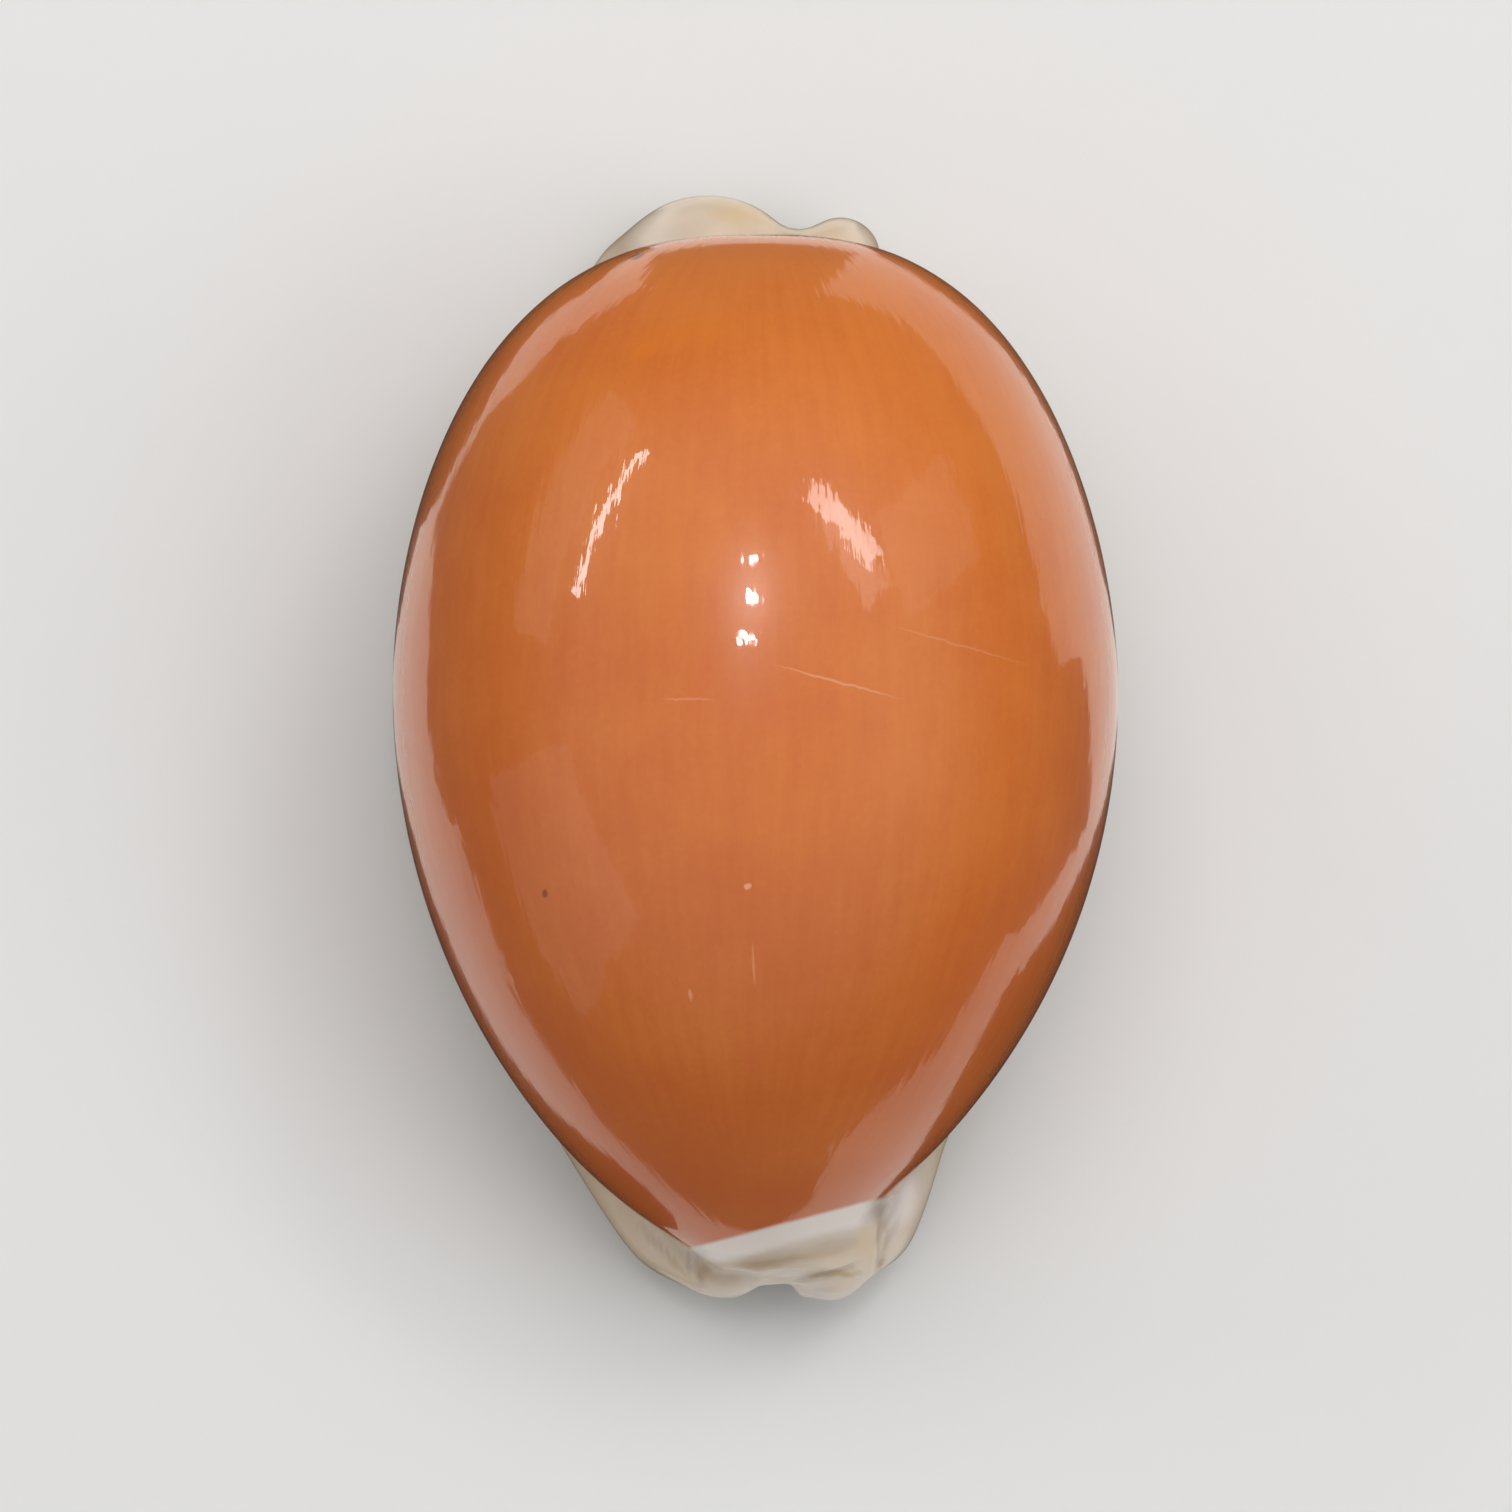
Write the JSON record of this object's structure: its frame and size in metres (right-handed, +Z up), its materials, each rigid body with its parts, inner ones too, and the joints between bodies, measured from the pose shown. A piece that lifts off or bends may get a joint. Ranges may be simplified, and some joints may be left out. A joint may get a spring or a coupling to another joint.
{
  "type": "golden cowrie shell",
  "caption": "Empty golden cowrie sea shell: a glossy orange domed back over a cream base with a long toothed aperture, for display or study.",
  "frame": {"origin": "centre of the shell's bounding box seen from above, at the level of the resting plane", "axes": "+Z up through the domed back, -Z out of the aperture, +Y along the length to the wide posterior end, -Y to the narrow anterior end, -X to the outer lip's side"},
  "size_m": [0.0624, 0.095, 0.05],
  "materials": {
    "orange_glaze": "glossy"
  },
  "bodies": {
    "root": {"shell": "orange_glaze"}
  },
  "joints": []
}
